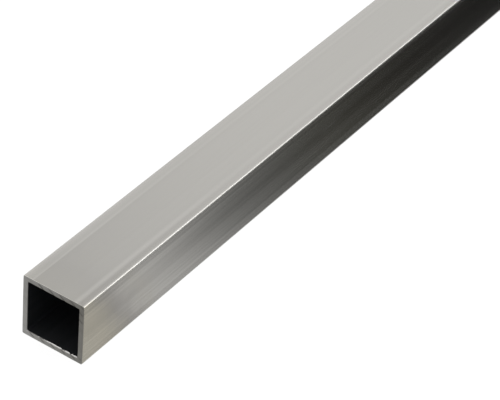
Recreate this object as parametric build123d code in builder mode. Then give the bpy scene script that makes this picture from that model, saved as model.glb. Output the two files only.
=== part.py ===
from build123d import *
import os

# Square aluminium tube, one length of extruded stock. The section is pushed through a die, so the wall is
# the same all round and runs straight from end to end. The long corners are nearly sharp, with a small
# radius outside and inside, and both ends are sawn square. The tube lies on one side along Y, its near end
# towards -Y, with the origin under its middle on the floor.

# Driving dimensions, in millimetres
stock_length = 1000.0
side = 20.0
wall = 1.5
outer_corner_radius = 0.4
inner_corner_radius = 0.3

# The square bore that the four walls leave, and the height of the section's centre above the floor
bore_side = side - 2 * wall
centre_height = side / 2


def make_square_tube():
    """One solid: the hollow section, drawn upright at the far end and extruded towards the near end."""
    far_end = Plane.XZ.offset(-stock_length / 2)
    with BuildPart() as square_tube:
        with BuildSketch(far_end):
            with Locations((0, centre_height)):
                RectangleRounded(side, side, outer_corner_radius)
                RectangleRounded(bore_side, bore_side, inner_corner_radius, mode=Mode.SUBTRACT)
        extrude(amount=stock_length)
    square_tube.part.label = "square_tube"
    return square_tube.part


tube = make_square_tube()
os.makedirs("parts", exist_ok=True)
export_step(tube, f"parts/{tube.label}.step")
print(f"{tube.label}: {tube.volume:.1f} mm3, {tube.bounding_box().size}")
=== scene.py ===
import math

import bpy
from mathutils import Matrix, Vector


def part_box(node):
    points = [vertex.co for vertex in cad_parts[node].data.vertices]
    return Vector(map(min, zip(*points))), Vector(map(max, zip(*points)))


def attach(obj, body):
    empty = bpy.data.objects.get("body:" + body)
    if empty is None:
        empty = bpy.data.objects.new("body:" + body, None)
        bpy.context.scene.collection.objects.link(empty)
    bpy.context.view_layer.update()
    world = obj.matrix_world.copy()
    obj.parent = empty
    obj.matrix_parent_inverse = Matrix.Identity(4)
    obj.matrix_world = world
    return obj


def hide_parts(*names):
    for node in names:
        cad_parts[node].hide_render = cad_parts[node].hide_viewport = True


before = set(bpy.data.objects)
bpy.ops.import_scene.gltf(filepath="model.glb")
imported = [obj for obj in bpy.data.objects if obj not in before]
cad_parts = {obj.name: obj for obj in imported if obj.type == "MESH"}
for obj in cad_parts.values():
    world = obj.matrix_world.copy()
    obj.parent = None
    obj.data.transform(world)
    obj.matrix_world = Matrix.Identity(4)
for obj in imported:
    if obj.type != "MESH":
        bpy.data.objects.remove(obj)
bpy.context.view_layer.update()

# The tube: one length of square aluminium tube, pushed hot through a die and left as it came, in mill
# finish. The die rules fine lines along all four sides, and a saw has cut both ends square, leaving
# diagonal tooth marks on the rims and a torn burr along the bore's edge where the blade came out.
MM = 0.001
low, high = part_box("square_tube")
side = high.x - low.x
tube_length = high.y - low.y
wall = 1.5 * MM
outer_corner_radius = 0.4 * MM
inner_corner_radius = 0.3 * MM


def add_node(tree, kind, inputs=None, output=0, **settings):
    """Adds one node, sets it, fills its inputs with values or links and returns one of its outputs."""
    node = tree.nodes.new(kind)
    for name, value in settings.items():
        setattr(node, name, value)
    for key, value in (inputs or {}).items():
        if isinstance(value, bpy.types.NodeSocket):
            tree.links.new(value, node.inputs[key])
        else:
            node.inputs[key].default_value = value
    return node.outputs[output]


def from_hex(code):
    """The linear colour of an sRGB hex value."""
    parts = [int(code[i:i + 2], 16) / 255 for i in (1, 3, 5)]
    return [p / 12.92 if p <= 0.04045 else ((p + 0.055) / 1.055) ** 2.4 for p in parts] + [1.0]


# Extruded aluminium, mill finish: a satin metal. Its die lines spread a reflection across the tube and
# keep it sharper along the tube, so widths below run around the section and lengths run along the tube.
mill_finish = bpy.data.materials.new("aluminium_extruded_mill_finish")
mill_finish.use_nodes = True
tree = mill_finish.node_tree
shader = tree.nodes["Principled BSDF"]
place = add_node(tree, "ShaderNodeTexCoord", output="Object")
place_parts = add_node(tree, "ShaderNodeSeparateXYZ", {0: place}).node.outputs

# Streaks, where the metal ran a little slower through the die and came out duller
streak_width = 2.5 * MM
streak_length = 150 * MM
satin_roughness = 0.18
streak_roughness = 0.215
streak_place = add_node(
    tree, "ShaderNodeVectorMath", {0: place, 1: (streak_width, streak_length, streak_width)},
    operation="DIVIDE")
streaks = add_node(tree, "ShaderNodeTexNoise", {"Vector": streak_place, "Scale": 1.0, "Detail": 1.0})
rough = add_node(
    tree, "ShaderNodeMapRange",
    {"Value": streaks, "From Min": 0.3, "From Max": 0.7,
     "To Min": satin_roughness, "To Max": streak_roughness})

# Bands beside each long corner, where the die's bearing is short and leaves the metal duller. The rounded
# corners themselves are the dullest, and so their bright line is soft. Each band has its start and its full
# strength, in millimetres from the corner, and the roughness that it adds.
DULL_BANDS = ((5.0, 0.8, 0.045), (0.9, 0.2, 0.2))
off_centre = add_node(tree, "ShaderNodeMath", {0: place_parts["X"]}, operation="ABSOLUTE")
off_height = add_node(tree, "ShaderNodeMath", {0: place_parts["Z"], 1: side / 2}, operation="SUBTRACT")
off_height = add_node(tree, "ShaderNodeMath", {0: off_height}, operation="ABSOLUTE")
across = add_node(tree, "ShaderNodeMath", {0: off_centre, 1: off_height}, operation="MINIMUM")
for start, full, added in DULL_BANDS:
    band = add_node(
        tree, "ShaderNodeMapRange",
        {"Value": across, "From Min": side / 2 - start * MM, "From Max": side / 2 - full * MM},
        interpolation_type="SMOOTHSTEP")
    rough = add_node(tree, "ShaderNodeMath", {0: band, 1: added, 2: rough}, operation="MULTIPLY_ADD")

# Lines that this die rules at the same places along the whole tube, in millimetres around the section from
# the left edge of the top. A tone of 0.5 is plain metal, and a lighter line is a rougher one. Some of the
# lighter bands are painted light: a painted highlight along the top's left edge and top left corner, a
# painted highlight on the top right corner and the right side's upper edge beside its bright line, and a
# painted lighter band low on the right side, as light from the floor. They show most near a sawn end, where
# the saw's clamps have rubbed their crests bright, and along the right side.
DIE_LINES_AND_PAINTED_LIGHT = (
    (0.0, 1.0), (0.6, 0.95), (1.2, 0.75), (2.4, 0.65), (2.75, 1.0), (3.1, 0.4), (15.8, 0.5), (16.7, 0.9),
    (17.2, 0.75), (17.8, 0.1), (18.4, 0.1), (18.8, 0.15), (19.1, 0.2), (19.3, 1.0), (20.3, 0.9), (21.1, 0.9),
    (21.5, 0.5), (21.9, 0.2), (22.4, 0.5), (22.9, 1.0), (23.5, 0.55), (25.2, 0.45), (28.0, 0.5), (31.0, 0.75),
    (33.2, 0.8), (34.8, 0.7), (37.4, 1.0), (39.4, 0.5), (42.4, 0.4), (56.6, 0.7), (63.0, 0.5), (80.0, 1.0),
)
plain_metal = 0.5
section_run = 4 * (side - 2 * outer_corner_radius) + 2 * math.pi * outer_corner_radius
around = add_node(tree, "ShaderNodeUVMap", uv_map="around_and_along")
around = add_node(tree, "ShaderNodeSeparateXYZ", {0: around}, output="X")
around = add_node(tree, "ShaderNodeMath", {0: around, 1: 1 / section_run}, operation="MULTIPLY")
# This ramp also carries painted highlights at the section's edges and a painted lighter band low on the right
ruled_and_painted_light = add_node(tree, "ShaderNodeValToRGB", {"Fac": around})
ends = ruled_and_painted_light.node.color_ramp.elements
ends[0].color = ends[1].color = (1.0, 1.0, 1.0, 1.0)
for millimetres, value in DIE_LINES_AND_PAINTED_LIGHT[1:-1]:
    ends.new(millimetres * MM / section_run).color = (value, value, value, 1.0)
off_plain = add_node(tree, "ShaderNodeMath", {0: ruled_and_painted_light, 1: plain_metal}, operation="SUBTRACT")
ruled_roughness = 0.03
rough = add_node(
    tree, "ShaderNodeMath", {0: off_plain, 1: ruled_roughness, 2: rough}, operation="MULTIPLY_ADD")

# How strongly they and their painted light show: fully where the clamps gripped, up to 10 mm from the saw
# cut, and faintly past 70 mm, but nearly fully all along the right side
clamp_near, clamp_far = 10 * MM, 70 * MM
unrubbed_strength = 0.22
right_strength = 0.8
along_tube = add_node(tree, "ShaderNodeMath", {0: place_parts["Y"]}, operation="ABSOLUTE")
from_saw = add_node(tree, "ShaderNodeMath", {0: tube_length / 2, 1: along_tube}, operation="SUBTRACT")
rubbed = add_node(
    tree, "ShaderNodeMapRange",
    {"Value": from_saw, "From Min": clamp_near, "From Max": clamp_far,
     "To Min": 1.0, "To Max": unrubbed_strength})
right_share = add_node(
    tree, "ShaderNodeMapRange",
    {"Value": place_parts["X"], "From Min": side / 2 - 0.2 * MM, "From Max": side / 2 - 0.08 * MM})
ruled_right = add_node(tree, "ShaderNodeMath", {0: right_share, 1: right_strength}, operation="MULTIPLY")
rubbed = add_node(tree, "ShaderNodeMath", {0: rubbed, 1: ruled_right}, operation="MAXIMUM")
mill_tone = 0.36
tone = add_node(tree, "ShaderNodeMath", {0: off_plain, 1: rubbed, 2: mill_tone}, operation="MULTIPLY_ADD")

# Fine die lines all round, strongest on the right side. In the metal they are from 0.1 mm wide, and they are
# drawn 0.8 mm wide because finer ones don't show.
line_width = 0.8 * MM
line_length = 320 * MM
line_strength = 0.08
line_strength_right = 0.96
line_place = add_node(
    tree, "ShaderNodeVectorMath", {0: place, 1: (line_width, line_length, line_width)}, operation="DIVIDE")
lines = add_node(tree, "ShaderNodeTexNoise", {"Vector": line_place, "Scale": 1.0, "Detail": 0.0})
off_line = add_node(tree, "ShaderNodeMath", {0: lines, 1: 0.5}, operation="SUBTRACT")
strength = add_node(
    tree, "ShaderNodeMapRange",
    {"Value": right_share, "To Min": line_strength, "To Max": line_strength_right})
tone = add_node(tree, "ShaderNodeMath", {0: off_line, 1: strength, 2: tone}, operation="MULTIPLY_ADD")
colour = add_node(
    tree, "ShaderNodeMix", {"Factor": tone, 6: from_hex("#d8d6d2"), 7: from_hex("#f5f3ef")}, output=2,
    data_type="RGBA")

# Saw stain: coolant that dried on the last 20 mm at each end, mostly on the right side. It is warm in colour
# near the saw cut and ends in a darker tide line that slants, nearer to the cut at the top. Each tint stands
# at its distance from the cut in millimetres, which the slant and the blots then shift.
STAIN = (
    (0.0, (1.0, 0.98, 0.88)), (6.0, (0.99, 0.955, 0.85)), (11.0, (0.935, 0.9, 0.795)),
    (15.5, (0.855, 0.83, 0.748)), (20.2, (0.752, 0.74, 0.712)), (22.7, (0.785, 0.775, 0.765)),
    (25.0, (0.868, 0.858, 0.848)), (28.0, (0.935, 0.93, 0.916)), (31.0, (0.98, 0.97, 0.95)),
    (36.0, (1.0, 1.0, 1.0)),
)
stain_reach = 40 * MM
tide_slant = 0.64
blot_size = 6 * MM
blot_shift = 4 * MM
stain_elsewhere = 0.15
slanting = add_node(
    tree, "ShaderNodeMath", {0: place_parts["Z"], 1: tide_slant, 2: from_saw}, operation="MULTIPLY_ADD")
blots = add_node(tree, "ShaderNodeTexNoise", {"Vector": place, "Scale": 1 / blot_size, "Detail": 2.0})
wander = add_node(tree, "ShaderNodeMapRange", {"Value": blots, "To Min": -blot_shift, "To Max": blot_shift})
slanting = add_node(tree, "ShaderNodeMath", {0: slanting, 1: wander}, operation="ADD")
slanting = add_node(tree, "ShaderNodeMath", {0: slanting, 1: 1 / stain_reach}, operation="MULTIPLY")
stain = add_node(tree, "ShaderNodeValToRGB", {"Fac": slanting})
ends = stain.node.color_ramp.elements
ends[0].color = STAIN[0][1] + (1.0,)
ends[1].color = (1.0, 1.0, 1.0, 1.0)
for millimetres, tint in STAIN[1:]:
    ends.new(millimetres * MM / stain_reach).color = tint + (1.0,)
stained = add_node(
    tree, "ShaderNodeMapRange", {"Value": right_share, "To Min": stain_elsewhere, "To Max": 1.0})
colour = add_node(
    tree, "ShaderNodeMix", {"Factor": stained, 6: colour, 7: stain}, output=2, data_type="RGBA",
    blend_type="MULTIPLY")

# One faint scuff on the right side, about 11 mm long and 0.8 mm wide, 116 mm from the near end
scuff_centre = (side / 2, -tube_length / 2 + 116 * MM, 12 * MM)
scuff_reach = (1.0 * MM, 9.0 * MM, 0.7 * MM)
scuff_roughness = 0.06
to_scuff = add_node(tree, "ShaderNodeVectorMath", {0: place, 1: scuff_centre}, operation="SUBTRACT")
to_scuff = add_node(tree, "ShaderNodeVectorMath", {0: to_scuff, 1: scuff_reach}, operation="DIVIDE")
to_scuff = add_node(tree, "ShaderNodeVectorMath", {0: to_scuff}, operation="LENGTH", output="Value")
scuff = add_node(
    tree, "ShaderNodeMapRange",
    {"Value": to_scuff, "From Min": 0.2, "From Max": 1.0, "To Min": scuff_roughness, "To Max": 0.0},
    interpolation_type="SMOOTHSTEP")
rough = add_node(tree, "ShaderNodeMath", {0: rough, 1: scuff}, operation="ADD")
tangent = add_node(tree, "ShaderNodeTangent", direction_type="UV_MAP", uv_map="around_and_along")
tree.links.new(colour, shader.inputs["Base Color"])
tree.links.new(rough, shader.inputs["Roughness"])
tree.links.new(tangent, shader.inputs["Tangent"])
shader.inputs["Metallic"].default_value = 1.0
shader.inputs["Anisotropic"].default_value = 0.6

# Sawn aluminium, as the blade left it: fresh metal scored along the tooth marks, with painted shade that
# darkens it towards the upper right, darker in the tooth marks as dirt and as painted shade in the grooves,
# and bright where the burr tore
sawn = bpy.data.materials.new("aluminium_sawn")
sawn.use_nodes = True
tree = sawn.node_tree
shader = tree.nodes["Principled BSDF"]
place = add_node(tree, "ShaderNodeTexCoord", output="Object")
across_marks = Vector((0.588, 0.0, 0.809))
along_marks = Vector((0.809, 0.0, -0.588))
score_width = 0.4 * MM
score_length = 3.0 * MM
scored_across = add_node(
    tree, "ShaderNodeVectorMath", {0: place, 1: across_marks / score_width}, operation="DOT_PRODUCT",
    output="Value")
scored_along = add_node(
    tree, "ShaderNodeVectorMath", {0: place, 1: along_marks / score_length}, operation="DOT_PRODUCT",
    output="Value")
score_place = add_node(tree, "ShaderNodeCombineXYZ", {"X": scored_across, "Y": scored_along})
scores = add_node(tree, "ShaderNodeTexNoise", {"Vector": score_place, "Scale": 1.0, "Detail": 2.0})
patch_size = 3.0 * MM
patches = add_node(tree, "ShaderNodeTexNoise", {"Vector": place, "Scale": 1 / patch_size, "Detail": 2.0})
# Painted shade: this slope draws the sawn face darker towards the upper right
painted_shade_slope = Vector((0.62, 0.0, 0.2)) / side
patch_strength, score_strength, dull_base = 0.3, 0.25, 0.19
dull_and_shade = add_node(
    tree, "ShaderNodeVectorMath", {0: place, 1: painted_shade_slope}, operation="DOT_PRODUCT", output="Value")
dull_and_shade = add_node(tree, "ShaderNodeMath", {0: patches, 1: patch_strength, 2: dull_and_shade}, operation="MULTIPLY_ADD")
dull_and_shade = add_node(tree, "ShaderNodeMath", {0: scores, 1: score_strength, 2: dull_and_shade}, operation="MULTIPLY_ADD")
dull_and_shade = add_node(tree, "ShaderNodeMath", {0: dull_and_shade, 1: dull_base}, operation="ADD")
colour = add_node(
    tree, "ShaderNodeMix", {"Factor": dull_and_shade, 6: from_hex("#ecebe8"), 7: from_hex("#a7a49c")}, output=2,
    data_type="RGBA")
# The tooth marks are painted darker, partly as dirt and partly as painted shade in the grooves
dirt_and_shade_strength = 0.8
dirt_and_shade_in_marks = add_node(tree, "ShaderNodeAttribute", output="Fac", attribute_name="tooth_mark")
dirt_and_shade_in_marks = add_node(tree, "ShaderNodeMath", {0: dirt_and_shade_in_marks, 1: dirt_and_shade_strength}, operation="MULTIPLY")
colour = add_node(
    tree, "ShaderNodeMix", {"Factor": dirt_and_shade_in_marks, 6: colour, 7: from_hex("#7f7d78")}, output=2,
    data_type="RGBA")
sawn_roughness = 0.4
torn_roughness = 0.28
torn = add_node(tree, "ShaderNodeAttribute", output="Fac", attribute_name="burr")
torn = add_node(
    tree, "ShaderNodeMapRange", {"Value": torn, "From Min": 0.1, "From Max": 0.4},
    interpolation_type="SMOOTHSTEP")
colour = add_node(
    tree, "ShaderNodeMix", {"Factor": torn, 6: colour, 7: from_hex("#efedea")}, output=2, data_type="RGBA")
rough = add_node(
    tree, "ShaderNodeMapRange", {"Value": torn, "To Min": sawn_roughness, "To Max": torn_roughness})
tree.links.new(colour, shader.inputs["Base Color"])
tree.links.new(rough, shader.inputs["Roughness"])
shader.inputs["Metallic"].default_value = 1.0

# The bore's aluminium, matt, and painted dark as painted shade inside the tube, in long streaks
bore_painted_shade = bpy.data.materials.new("aluminium_bore_dull_painted_shade")
bore_painted_shade.use_nodes = True
tree = bore_painted_shade.node_tree
shader = tree.nodes["Principled BSDF"]
bore_streak_width = 2.0 * MM
bore_streak_length = 60 * MM
place = add_node(tree, "ShaderNodeTexCoord", output="Object")
streak_place = add_node(
    tree, "ShaderNodeVectorMath", {0: place, 1: (bore_streak_width, bore_streak_length, bore_streak_width)}, operation="DIVIDE")
streaks = add_node(tree, "ShaderNodeTexNoise", {"Vector": streak_place, "Scale": 1.0, "Detail": 3.0})
colour = add_node(
    tree, "ShaderNodeMix", {"Factor": streaks, 6: from_hex("#474a4d"), 7: from_hex("#5e6064")}, output=2,
    data_type="RGBA")
tree.links.new(colour, shader.inputs["Base Color"])
shader.inputs["Metallic"].default_value = 1.0
shader.inputs["Roughness"].default_value = 0.5

# The tube's Geometry Nodes tree. A flat grid is rolled up twice: across, it follows the section with its
# four sides and corners, and along, it runs out over the tube, in over the far rim, back through the bore
# and out over the near rim.
tree = bpy.data.node_groups.new("extruded_square_tube", "GeometryNodeTree")
tube_inputs = {
    "Side": side,
    "Wall": wall,
    "Outer corner radius": outer_corner_radius,
    "Inner corner radius": inner_corner_radius,
    "Length": tube_length,
    "Die line depth": 0.048 * MM,
    "Edge fall": 0.035 * MM,
    "Lower lean": 0.042 * MM,
    "Burr height": 0.3 * MM,
    "Tooth mark depth": 0.035 * MM,
    "Tooth mark pitch": 2.03 * MM,
    "Die line seed": 33.92,
    "Burr seed": 3.0,
}
finishes = {"Outside": mill_finish, "Bore": bore_painted_shade, "Rims": sawn}
for name, value in tube_inputs.items():
    socket = tree.interface.new_socket(name=name, in_out="INPUT", socket_type="NodeSocketFloat")
    socket.default_value = value
for name in finishes:
    tree.interface.new_socket(name=name, in_out="INPUT", socket_type="NodeSocketMaterial")
tree.interface.new_socket(name="Geometry", in_out="OUTPUT", socket_type="NodeSocketGeometry")
given = tree.nodes.new("NodeGroupInput").outputs

# The grid's steps across one side and one corner, and its rows along the tube and over one rim
SIDE_STEPS, CORNER_STEPS = 96, 6
LONG_STEPS, RIM_STEPS = 56, 24
quarter_steps = SIDE_STEPS + CORNER_STEPS
around_steps = 4 * quarter_steps
far_rim_row = LONG_STEPS
far_bore_row = far_rim_row + RIM_STEPS
near_bore_row = far_bore_row + LONG_STEPS
row_steps = near_bore_row + RIM_STEPS
grid = add_node(
    tree, "GeometryNodeMeshGrid",
    {"Size X": around_steps, "Size Y": row_steps,
     "Vertices X": around_steps + 1, "Vertices Y": row_steps + 1})
flat_place = add_node(tree, "GeometryNodeInputPosition")
flat_parts = add_node(tree, "ShaderNodeSeparateXYZ", {0: flat_place}).node.outputs
step = add_node(tree, "ShaderNodeMath", {0: flat_parts["X"], 1: around_steps / 2}, operation="ADD")
row = add_node(tree, "ShaderNodeMath", {0: flat_parts["Y"], 1: row_steps / 2}, operation="ADD")

# Along the grid: how deep in the wall each row lies, from 0 outside to 1 in the bore, and where along the
# tube, from -1 at the near end to 1 at the far end
far_rim = add_node(
    tree, "ShaderNodeMapRange", {"Value": row, "From Min": far_rim_row, "From Max": far_bore_row})
near_rim = add_node(
    tree, "ShaderNodeMapRange", {"Value": row, "From Min": near_bore_row, "From Max": row_steps})
depth = add_node(tree, "ShaderNodeMath", {0: far_rim, 1: near_rim}, operation="SUBTRACT")
way_out = add_node(
    tree, "ShaderNodeMapRange",
    {"Value": row, "From Min": 0.0, "From Max": far_rim_row, "To Min": -1.0, "To Max": 1.0})
way_back = add_node(
    tree, "ShaderNodeMapRange",
    {"Value": row, "From Min": far_bore_row, "From Max": near_bore_row, "To Min": 0.0, "To Max": 2.0})
share = add_node(tree, "ShaderNodeMath", {0: way_out, 1: way_back}, operation="SUBTRACT")
# The rows crowd towards the sawn ends by a hyperbolic tangent, 0.07 mm apart there and 75 mm at the middle
CROWDING = 4.2
crowded = add_node(tree, "ShaderNodeMath", {0: share, 1: CROWDING}, operation="MULTIPLY")
crowded = add_node(tree, "ShaderNodeMath", {0: crowded}, operation="TANH")
half_length = add_node(tree, "ShaderNodeMath", {0: given["Length"], 1: 0.5}, operation="MULTIPLY")
stretch = add_node(tree, "ShaderNodeMath", {0: half_length, 1: math.tanh(CROWDING)}, operation="DIVIDE")
along = add_node(tree, "ShaderNodeMath", {0: crowded, 1: stretch}, operation="MULTIPLY")
which_end = add_node(tree, "ShaderNodeMath", {0: share}, operation="SIGN")
from_middle = add_node(tree, "ShaderNodeMath", {0: along}, operation="ABSOLUTE")
from_end = add_node(tree, "ShaderNodeMath", {0: half_length, 1: from_middle}, operation="SUBTRACT")
into_wall = add_node(tree, "ShaderNodeMath", {0: depth, 1: given["Wall"]}, operation="MULTIPLY")
wall_left = add_node(tree, "ShaderNodeMath", {0: given["Wall"], 1: into_wall}, operation="SUBTRACT")
from_outer_edge = add_node(tree, "ShaderNodeMath", {0: from_end, 1: into_wall}, operation="ADD")
from_bore_edge = add_node(tree, "ShaderNodeMath", {0: from_end, 1: wall_left}, operation="ADD")

# Across the grid: one straight side and one rounded corner, turned to each of the four quarters. A quarter
# of a step keeps the first step of each quarter clear of rounding.
quarter = add_node(tree, "ShaderNodeMath", {0: step, 1: 0.25}, operation="ADD")
quarter = add_node(tree, "ShaderNodeMath", {0: quarter, 1: quarter_steps}, operation="DIVIDE")
quarter = add_node(tree, "ShaderNodeMath", {0: quarter}, operation="FLOOR")
passed = add_node(tree, "ShaderNodeMath", {0: quarter, 1: quarter_steps}, operation="MULTIPLY")
in_quarter = add_node(tree, "ShaderNodeMath", {0: step, 1: passed}, operation="SUBTRACT")
across_side = add_node(
    tree, "ShaderNodeMapRange",
    {"Value": in_quarter, "From Min": 0.0, "From Max": SIDE_STEPS, "To Min": -1.0, "To Max": 1.0})
corner_turn = add_node(
    tree, "ShaderNodeMapRange",
    {"Value": in_quarter, "From Min": SIDE_STEPS, "From Max": quarter_steps,
     "To Min": 0.0, "To Max": math.pi / 2})
half_side = add_node(tree, "ShaderNodeMath", {0: given["Side"], 1: 0.5}, operation="MULTIPLY")
half_here = add_node(tree, "ShaderNodeMath", {0: half_side, 1: into_wall}, operation="SUBTRACT")
radius_here = add_node(
    tree, "ShaderNodeMapRange",
    {"Value": depth, "To Min": given["Outer corner radius"], "To Max": given["Inner corner radius"]})
flat_half = add_node(tree, "ShaderNodeMath", {0: half_here, 1: radius_here}, operation="SUBTRACT")
flat_point = add_node(tree, "ShaderNodeCombineXYZ", {"X": across_side, "Z": 1.0})
flat_point = add_node(tree, "ShaderNodeVectorMath", {0: flat_point, "Scale": flat_half}, operation="SCALE")
turn_sine = add_node(tree, "ShaderNodeMath", {0: corner_turn}, operation="SINE")
turn_cosine = add_node(tree, "ShaderNodeMath", {0: corner_turn}, operation="COSINE")
outward = add_node(tree, "ShaderNodeCombineXYZ", {"X": turn_sine, "Z": turn_cosine})
corner_point = add_node(
    tree, "ShaderNodeVectorMath", {0: outward, "Scale": radius_here}, operation="SCALE")
section_point = add_node(tree, "ShaderNodeVectorMath", {0: flat_point, 1: corner_point}, operation="ADD")
quarter_angle = add_node(tree, "ShaderNodeMath", {0: quarter, 1: math.pi / 2}, operation="MULTIPLY")
section_point = add_node(
    tree, "ShaderNodeVectorRotate", {"Vector": section_point, "Angle": quarter_angle},
    rotation_type="Y_AXIS")
outward = add_node(
    tree, "ShaderNodeVectorRotate", {"Vector": outward, "Angle": quarter_angle}, rotation_type="Y_AXIS")
section_parts = add_node(tree, "ShaderNodeSeparateXYZ", {0: section_point}).node.outputs
outward_parts = add_node(tree, "ShaderNodeSeparateXYZ", {0: outward}).node.outputs

# Die waves: the same shallow waves from end to end, set by the place on the section alone
wave_width = 4.0 * MM
shifted = add_node(tree, "ShaderNodeCombineXYZ", {"Y": given["Die line seed"]})
die_place = add_node(
    tree, "ShaderNodeVectorMath", {0: section_point, 1: (wave_width, 1.0, wave_width)}, operation="DIVIDE")
die_place = add_node(tree, "ShaderNodeVectorMath", {0: die_place, 1: shifted}, operation="ADD")
die_noise = add_node(
    tree, "ShaderNodeTexNoise", {"Vector": die_place, "Scale": 1.0, "Detail": 2.0, "Roughness": 0.45})
die_height = add_node(
    tree, "ShaderNodeMapRange",
    {"Value": die_noise, "From Min": 0.2, "From Max": 0.8, "To Min": -1.0, "To Max": 0.0})
die_height = add_node(
    tree, "ShaderNodeMath", {0: die_height, 1: given["Die line depth"]}, operation="MULTIPLY")

# Each side falls away over the last 3 mm before its corners, where the metal shrank as it cooled. The fall
# starts at this share of the way from the side's middle to its corner.
fall_start = 0.7
off_middle = add_node(tree, "ShaderNodeMath", {0: across_side}, operation="ABSOLUTE")
falling = add_node(
    tree, "ShaderNodeMapRange", {"Value": off_middle, "From Min": fall_start, "From Max": 1.0})
falling = add_node(tree, "ShaderNodeMath", {0: falling, 1: 2.0}, operation="POWER")
falling = add_node(tree, "ShaderNodeMath", {0: falling, 1: given["Edge fall"]}, operation="MULTIPLY")
die_height = add_node(tree, "ShaderNodeMath", {0: die_height, 1: falling}, operation="SUBTRACT")

# The lower quarter of the right side leans in a little more
lean_top, lean_bottom = -4.3 * MM, -7.9 * MM
leaning_in = add_node(
    tree, "ShaderNodeMapRange",
    {"Value": section_parts["Z"], "From Min": lean_bottom, "From Max": lean_top,
     "To Min": 1.0, "To Max": 0.0},
    interpolation_type="SMOOTHSTEP")
on_right = add_node(tree, "ShaderNodeMath", {0: outward_parts["X"], 1: 0.0}, operation="MAXIMUM")
leaning_in = add_node(tree, "ShaderNodeMath", {0: leaning_in, 1: on_right}, operation="MULTIPLY")
leaning_in = add_node(tree, "ShaderNodeMath", {0: leaning_in, 1: given["Lower lean"]}, operation="MULTIPLY")
die_height = add_node(tree, "ShaderNodeMath", {0: die_height, 1: leaning_in}, operation="SUBTRACT")

# The outer edges of the rims, broken very slightly
edge_break = 0.015 * MM
edge_break_width = 0.1 * MM
outer_edge = add_node(
    tree, "ShaderNodeMapRange",
    {"Value": from_outer_edge, "From Min": 0.0, "From Max": edge_break_width,
     "To Min": -edge_break, "To Max": 0.0})
pushed_in = add_node(tree, "ShaderNodeMath", {0: die_height, 1: outer_edge}, operation="ADD")

# The burr: torn slivers round the bore's edge, tallest along the bottom wall where the blade came out, and
# low at its left end. They stand into the opening and lean back into the bore.
sliver_width = 1.8 * MM
lip_width = 0.2 * MM
burr_elsewhere = 0.12
burr_at_left = 0.2
burr_lean = -0.45
shifted = add_node(tree, "ShaderNodeCombineXYZ", {"Y": given["Burr seed"]})
burr_place = add_node(
    tree, "ShaderNodeVectorMath", {0: section_point, 1: (sliver_width, 1.0, sliver_width)},
    operation="DIVIDE")
burr_place = add_node(tree, "ShaderNodeVectorMath", {0: burr_place, 1: shifted}, operation="ADD")
burr_noise = add_node(
    tree, "ShaderNodeTexNoise", {"Vector": burr_place, "Scale": 1.0, "Detail": 4.0, "Roughness": 0.7})
burr = add_node(tree, "ShaderNodeMapRange", {"Value": burr_noise, "From Min": 0.42, "From Max": 0.5})
at_bottom = add_node(
    tree, "ShaderNodeMapRange",
    {"Value": outward_parts["Z"], "From Min": -1.0, "From Max": -0.7,
     "To Min": 1.0, "To Max": burr_elsewhere})
burr = add_node(tree, "ShaderNodeMath", {0: burr, 1: at_bottom}, operation="MULTIPLY")
to_the_right = add_node(
    tree, "ShaderNodeMapRange",
    {"Value": section_parts["X"], "From Min": -6.0 * MM, "From Max": 0.0,
     "To Min": burr_at_left, "To Max": 1.0})
burr = add_node(tree, "ShaderNodeMath", {0: burr, 1: to_the_right}, operation="MULTIPLY")
near_bore_edge = add_node(
    tree, "ShaderNodeMapRange",
    {"Value": from_bore_edge, "From Min": 0.0, "From Max": lip_width, "To Min": 1.0, "To Max": 0.0},
    interpolation_type="SMOOTHSTEP")
burr_share = add_node(tree, "ShaderNodeMath", {0: burr, 1: near_bore_edge}, operation="MULTIPLY")
burr = add_node(tree, "ShaderNodeMath", {0: burr_share, 1: given["Burr height"]}, operation="MULTIPLY")
pushed_in = add_node(tree, "ShaderNodeMath", {0: pushed_in, 1: burr}, operation="SUBTRACT")
leaning = add_node(tree, "ShaderNodeMath", {0: burr, 1: burr_lean}, operation="MULTIPLY")

# Tooth marks: shallow grooves across the rims, parallel and slanting down to the right. The first mark's
# place and a mark's half widths at its floor and at its edge are shares of the pitch.
first_mark = 0.40
mark_core, mark_edge = 0.03, 0.18
slant = add_node(
    tree, "ShaderNodeVectorMath", {0: section_point, 1: across_marks}, operation="DOT_PRODUCT",
    output="Value")
slant = add_node(tree, "ShaderNodeMath", {0: slant, 1: given["Tooth mark pitch"]}, operation="DIVIDE")
slant = add_node(tree, "ShaderNodeMath", {0: slant, 1: first_mark}, operation="SUBTRACT")
off_mark = add_node(tree, "ShaderNodeMath", {0: slant, 1: 0.5}, operation="PINGPONG")
mark = add_node(
    tree, "ShaderNodeMapRange",
    {"Value": off_mark, "From Min": mark_core, "From Max": mark_edge, "To Min": 1.0, "To Max": 0.0},
    interpolation_type="SMOOTHSTEP")
on_rim = add_node(
    tree, "ShaderNodeMapRange",
    {"Value": from_end, "From Min": 0.0, "From Max": 0.02 * MM, "To Min": 1.0, "To Max": 0.0})
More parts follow.
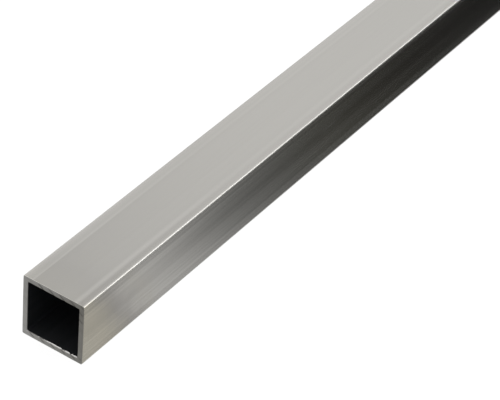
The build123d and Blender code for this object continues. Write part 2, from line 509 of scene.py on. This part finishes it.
# The blade bit deepest where it came in, over the upper right corner, and where it left, through the bottom
# wall. The marks run out before they reach the rim's outer edge.
towards_entry = (0.379, 0.0, 0.925)
exit_bite, least_bite = 0.8, 0.1
bite_in = add_node(
    tree, "ShaderNodeVectorMath", {0: section_point, 1: towards_entry}, operation="DOT_PRODUCT",
    output="Value")
bite_in = add_node(
    tree, "ShaderNodeMapRange", {"Value": bite_in, "From Min": 5.9 * MM, "From Max": 6.5 * MM})
bite_out = add_node(
    tree, "ShaderNodeMapRange",
    {"Value": section_parts["Z"], "From Min": -8.5 * MM, "From Max": -8.2 * MM,
     "To Min": exit_bite, "To Max": least_bite})
bite = add_node(tree, "ShaderNodeMath", {0: bite_in, 1: bite_out}, operation="MAXIMUM")
mark = add_node(tree, "ShaderNodeMath", {0: mark, 1: bite}, operation="MULTIPLY")
inside_rim = add_node(
    tree, "ShaderNodeMapRange", {"Value": depth, "From Min": 0.1, "From Max": 0.4},
    interpolation_type="SMOOTHSTEP")
mark = add_node(tree, "ShaderNodeMath", {0: mark, 1: inside_rim}, operation="MULTIPLY")
mark_share = add_node(tree, "ShaderNodeMath", {0: mark, 1: on_rim}, operation="MULTIPLY")
mark = add_node(tree, "ShaderNodeMath", {0: mark_share, 1: given["Tooth mark depth"]}, operation="MULTIPLY")

# Each point of the grid goes to its place on the tube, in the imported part's frame
proud = add_node(tree, "ShaderNodeMath", {0: leaning, 1: mark}, operation="SUBTRACT")
proud = add_node(tree, "ShaderNodeMath", {0: proud, 1: outer_edge}, operation="ADD")
proud = add_node(tree, "ShaderNodeMath", {0: proud, 1: which_end}, operation="MULTIPLY")
along_point = add_node(tree, "ShaderNodeMath", {0: along, 1: proud}, operation="ADD")
lifted = add_node(tree, "ShaderNodeCombineXYZ", {"Y": along_point, "Z": half_side})
relief = add_node(tree, "ShaderNodeVectorMath", {0: outward, "Scale": pushed_in}, operation="SCALE")
tube_point = add_node(tree, "ShaderNodeVectorMath", {0: section_point, 1: relief}, operation="ADD")
tube_point = add_node(tree, "ShaderNodeVectorMath", {0: tube_point, 1: lifted}, operation="ADD")

# The map that the brushed reflection follows: metres around the section, and metres along the tube
outer_radius = given["Outer corner radius"]
outer_flat = add_node(tree, "ShaderNodeMath", {0: half_side, 1: outer_radius}, operation="SUBTRACT")
side_run = add_node(tree, "ShaderNodeMath", {0: across_side, 1: 1.0}, operation="ADD")
side_run = add_node(tree, "ShaderNodeMath", {0: side_run, 1: outer_flat}, operation="MULTIPLY")
corner_run = add_node(tree, "ShaderNodeMath", {0: corner_turn, 1: outer_radius}, operation="MULTIPLY")
quarter_run = add_node(
    tree, "ShaderNodeMath", {0: outer_radius, 1: math.pi / 2, 2: outer_flat}, operation="MULTIPLY_ADD")
quarter_run = add_node(tree, "ShaderNodeMath", {0: quarter_run, 1: outer_flat}, operation="ADD")
around = add_node(
    tree, "ShaderNodeMath", {0: quarter, 1: quarter_run, 2: side_run}, operation="MULTIPLY_ADD")
around = add_node(tree, "ShaderNodeMath", {0: around, 1: corner_run}, operation="ADD")
rim_run = add_node(tree, "ShaderNodeMath", {0: into_wall, 1: which_end, 2: along}, operation="MULTIPLY_ADD")
map_point = add_node(tree, "ShaderNodeCombineXYZ", {"X": around, "Y": rim_run})
mapped = add_node(
    tree, "GeometryNodeStoreNamedAttribute",
    {"Geometry": grid, "Name": "around_and_along", "Value": map_point},
    data_type="FLOAT2", domain="CORNER")

# The burr and the tooth marks, from 0 to 1, for the sawn metal's colour
with_burr = add_node(
    tree, "GeometryNodeStoreNamedAttribute", {"Geometry": mapped, "Name": "burr", "Value": burr_share},
    data_type="FLOAT", domain="POINT")
with_marks = add_node(
    tree, "GeometryNodeStoreNamedAttribute",
    {"Geometry": with_burr, "Name": "tooth_mark", "Value": mark_share},
    data_type="FLOAT", domain="POINT")

# The faces' depth and distance from the bore's edge are kept for the choice of finish, before the grid is
# rolled. The sawn metal also wraps a little way over the bore's edge, where the burr tore.
torn_reach = 0.28 * MM
kept = tree.nodes.new("GeometryNodeCaptureAttribute")
kept.domain = "FACE"
kept.capture_items.new("FLOAT", "Depth")
kept.capture_items.new("FLOAT", "From bore edge")
tree.links.new(with_marks, kept.inputs["Geometry"])
tree.links.new(depth, kept.inputs["Depth"])
tree.links.new(from_bore_edge, kept.inputs["From bore edge"])
kept_depth = kept.outputs["Depth"]
rolled = add_node(
    tree, "GeometryNodeSetPosition", {"Geometry": kept.outputs["Geometry"], "Position": tube_point})
joined = add_node(tree, "GeometryNodeMergeByDistance", {"Geometry": rolled, "Distance": 0.002 * MM})
smooth = add_node(tree, "GeometryNodeSetShadeSmooth", {"Geometry": joined, "Shade Smooth": True})
real = add_node(tree, "GeometryNodeRealizeInstances", {"Geometry": smooth})
outside = add_node(tree, "GeometryNodeSetMaterial", {"Geometry": real, "Material": given["Outside"]})
in_bore = add_node(tree, "FunctionNodeCompare", {0: kept_depth, 1: 0.999}, operation="GREATER_THAN")
with_bore = add_node(
    tree, "GeometryNodeSetMaterial",
    {"Geometry": outside, "Selection": in_bore, "Material": given["Bore"]})
past_outside = add_node(tree, "FunctionNodeCompare", {0: kept_depth, 1: 0.001}, operation="GREATER_THAN")
not_bore = add_node(tree, "FunctionNodeCompare", {0: kept_depth, 1: 0.999}, operation="LESS_EQUAL")
cut_face = add_node(tree, "FunctionNodeBooleanMath", {0: past_outside, 1: not_bore}, operation="AND")
torn_lip = add_node(
    tree, "FunctionNodeCompare", {0: kept.outputs["From bore edge"], 1: torn_reach}, operation="LESS_THAN")
sawn_face = add_node(tree, "FunctionNodeBooleanMath", {0: cut_face, 1: torn_lip}, operation="OR")
finished = add_node(
    tree, "GeometryNodeSetMaterial",
    {"Geometry": with_bore, "Selection": sawn_face, "Material": given["Rims"]})
result = tree.nodes.new("NodeGroupOutput")
tree.links.new(finished, result.inputs["Geometry"])

host = bpy.data.objects.new("tube_host", bpy.data.meshes.new("tube_host"))
bpy.context.scene.collection.objects.link(host)
maker = host.modifiers.new("extrusion", "NODES")
maker.node_group = tree
for item in tree.interface.items_tree:
    if item.item_type == "SOCKET" and item.in_out == "INPUT" and item.name in finishes:
        maker[item.identifier] = finishes[item.name]
bpy.context.view_layer.update()
tube_mesh = bpy.data.meshes.new_from_object(host.evaluated_get(bpy.context.evaluated_depsgraph_get()))
bpy.data.objects.remove(host)
tube_mesh.materials.pop(index=0)
tube_mesh.name = "extruded_tube"
tube = bpy.data.objects.new("extruded_tube", tube_mesh)
bpy.context.scene.collection.objects.link(tube)
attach(tube, "root")
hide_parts("square_tube")

# The studio: a pale floor lit from beneath like a light table, a soft tent of light all round, and one
# softbox low on the right for the long corner
floor_reach = 20.0
floor_level = -0.02 * MM
floor_corners = [
    (x * floor_reach, y * floor_reach, floor_level) for x, y in ((-1, -1), (1, -1), (1, 1), (-1, 1))]
floor_mesh = bpy.data.meshes.new("floor")
floor_mesh.from_pydata(floor_corners, [], [(0, 1, 2, 3)])
floor = bpy.data.objects.new("floor", floor_mesh)
bpy.context.scene.collection.objects.link(floor)
floor_paint = bpy.data.materials.new("matt_pale_floor")
floor_paint.use_nodes = True
floor_shader = floor_paint.node_tree.nodes["Principled BSDF"]
floor_shader.inputs["Base Color"].default_value = (0.25, 0.25, 0.25, 1.0)
floor_shader.inputs["Emission Color"].default_value = (1.0, 1.0, 1.0, 1.0)
floor_shader.inputs["Emission Strength"].default_value = 0.82
floor_shader.inputs["Roughness"].default_value = 1.0
floor_shader.inputs["Specular IOR Level"].default_value = 0.0
floor_mesh.materials.append(floor_paint)
floor.visible_glossy = False

# What the metal reflects is brightest above on the right, dimmer below and dark beyond the far right, as
# between the panels of a light tent. Each panel's brightness is given from behind the camera, at -1, to
# beyond the tube's far end, at 1. The floor and the background see an even white.
tent = bpy.data.worlds.new("soft_tent")
bpy.context.scene.world = tent
tent.use_nodes = True
tree = tent.node_tree
background = tree.nodes["Background"]
way = add_node(tree, "ShaderNodeTexCoord", output="Generated")
way_parts = add_node(tree, "ShaderNodeSeparateXYZ", {0: way}).node.outputs
way_along = add_node(
    tree, "ShaderNodeMapRange", {"Value": way_parts["Y"], "From Min": -1.0, "From Max": 1.0})
GLOWS = {
    "above_left": (
        (-1.0, 1.0), (-0.3, 1.0), (0.1, 0.7), (0.45, 0.5), (0.587, 0.485), (0.677, 0.632), (1.0, 0.632)),
    "above_right": ((-1.0, 1.0), (-0.3, 1.0), (0.45, 1.0), (0.6, 1.0), (0.74, 0.78), (1.0, 0.7)),
    "below_right": (
        (-1.0, 0.33), (0.1, 0.36), (0.246, 0.38), (0.276, 0.43), (0.295, 0.63), (0.3125, 0.66),
        (0.3265, 0.25), (0.3435, 0.125), (0.373, 0.073), (0.406, 0.043), (0.446, 0.0125), (0.486, 0.001),
        (0.8, 0.001), (1.0, 0.2)),
    "below_left": ((-1.0, 0.28), (0.3, 0.28), (0.6, 0.2), (0.7, 0.02), (1.0, 0.02)),
}


def panel_colour(value):
    """A panel's colour: nearly white where bright, a little green where dim and brown where nearly dark."""
    if value > 0.3:
        green, blue = 0.995, 0.98
    elif value > 0.05:
        green, blue = 1.015, 0.995
    else:
        green, blue = 0.97, 0.75
    return (value, value * green, value * blue, 1.0)


# The lower right panel fades along a slanting line. Steeper than 60 degrees below the level, the lower
# corners see no more light than the right side does.
SINE_OF_STEEPEST = 0.866
panel_slant = 0.5
sideways = add_node(tree, "ShaderNodeVectorMath", {0: way, 1: (1.0, 0.0, 1.0)}, operation="MULTIPLY")
sideways = add_node(tree, "ShaderNodeVectorMath", {0: sideways}, operation="LENGTH", output="Value")
steepest = add_node(tree, "ShaderNodeMath", {0: sideways, 1: -SINE_OF_STEEPEST}, operation="MULTIPLY")
slope = add_node(tree, "ShaderNodeMath", {0: way_parts["Z"], 1: steepest}, operation="MAXIMUM")
sloping = add_node(
    tree, "ShaderNodeMath", {0: slope, 1: panel_slant, 2: way_parts["Y"]}, operation="MULTIPLY_ADD")
sloping = add_node(tree, "ShaderNodeMapRange", {"Value": sloping, "From Min": -1.0, "From Max": 1.0})
glow = {}
for panel, stops in GLOWS.items():
    glow[panel] = add_node(
        tree, "ShaderNodeValToRGB", {"Fac": sloping if panel == "below_right" else way_along})
    ends = glow[panel].node.color_ramp.elements
    ends[0].color = (stops[0][1],) * 3 + (1.0,)
    ends[1].color = (stops[-1][1],) * 3 + (1.0,)
    for where, value in stops[1:-1]:
        ends.new((where + 1) / 2).color = panel_colour(value)

# The panels blend into each other over soft edges, and the horizon between them drops towards the front
horizon_left, horizon_right = -0.02, -0.08
panel_edge = 0.05
horizon_edge = 0.08
front_fall = 0.25
to_right = add_node(
    tree, "ShaderNodeMapRange", {"Value": way_parts["X"], "From Min": -panel_edge, "From Max": panel_edge})
horizon = add_node(
    tree, "ShaderNodeMapRange", {"Value": to_right, "To Min": horizon_left, "To Max": horizon_right})
front_drop = add_node(
    tree, "ShaderNodeMapRange",
    {"Value": way_parts["Y"], "From Min": -0.6, "From Max": -0.1, "To Min": front_fall, "To Max": 0.0})
over_horizon = add_node(tree, "ShaderNodeMath", {0: way_parts["Z"], 1: horizon}, operation="SUBTRACT")
over_horizon = add_node(tree, "ShaderNodeMath", {0: over_horizon, 1: front_drop}, operation="ADD")
is_above = add_node(
    tree, "ShaderNodeMapRange",
    {"Value": over_horizon, "From Min": -horizon_edge, "From Max": horizon_edge},
    interpolation_type="SMOOTHSTEP")
below = add_node(
    tree, "ShaderNodeMix", {"Factor": to_right, 6: glow["below_left"], 7: glow["below_right"]}, output=2,
    data_type="RGBA")
above = add_node(
    tree, "ShaderNodeMix", {"Factor": to_right, 6: glow["above_left"], 7: glow["above_right"]}, output=2,
    data_type="RGBA")
shine = add_node(
    tree, "ShaderNodeMix", {"Factor": is_above, 6: below, 7: above}, output=2, data_type="RGBA")
even_white = (1.1, 1.1, 1.1, 1.0)
ray = add_node(tree, "ShaderNodeLightPath").node.outputs
seen = add_node(
    tree, "ShaderNodeMix", {"Factor": ray["Is Glossy Ray"], 6: even_white, 7: shine}, output=2,
    data_type="RGBA")
tree.links.new(seen, background.inputs["Color"])
background.inputs["Strength"].default_value = 1.0

softbox_data = bpy.data.lights.new("softbox", "AREA")
softbox_data.shape = "RECTANGLE"
softbox_data.size = 1.6
softbox_data.size_y = 0.64
softbox_data.energy = 7.5
softbox_data.color = (0.985, 0.995, 1.0)
softbox = bpy.data.objects.new("softbox", softbox_data)
bpy.context.scene.collection.objects.link(softbox)
softbox.location = (1.5, 0.3, 0.34)
softbox_aim = Vector((0.0, -0.4, 0.0)) - softbox.location
softbox.rotation_mode = "QUATERNION"
softbox.rotation_quaternion = softbox_aim.to_track_quat("-Z", "Y")

# The camera: a long lens from the near right, above the tube's near end, with the photograph's slight roll
camera_data = bpy.data.cameras.new("camera")
camera_data.lens = 166.619
camera_data.sensor_width = 36.0
camera = bpy.data.objects.new("camera", camera_data)
bpy.context.scene.collection.objects.link(camera)
camera_place = (0.27425, -0.85785, 0.40937)
camera_right = Vector((0.8185, 0.5695, 0.0761))
camera_up = Vector((-0.4037, 0.4758, 0.7814))
camera_back = camera_right.cross(camera_up).normalized()
camera_up = camera_back.cross(camera_right).normalized()
camera_right = camera_up.cross(camera_back)
turned = Matrix((camera_right, camera_up, camera_back)).transposed().to_4x4()
camera.matrix_world = Matrix.Translation(camera_place) @ turned
bpy.context.scene.camera = camera
bpy.context.scene.view_settings.view_transform = "Standard"
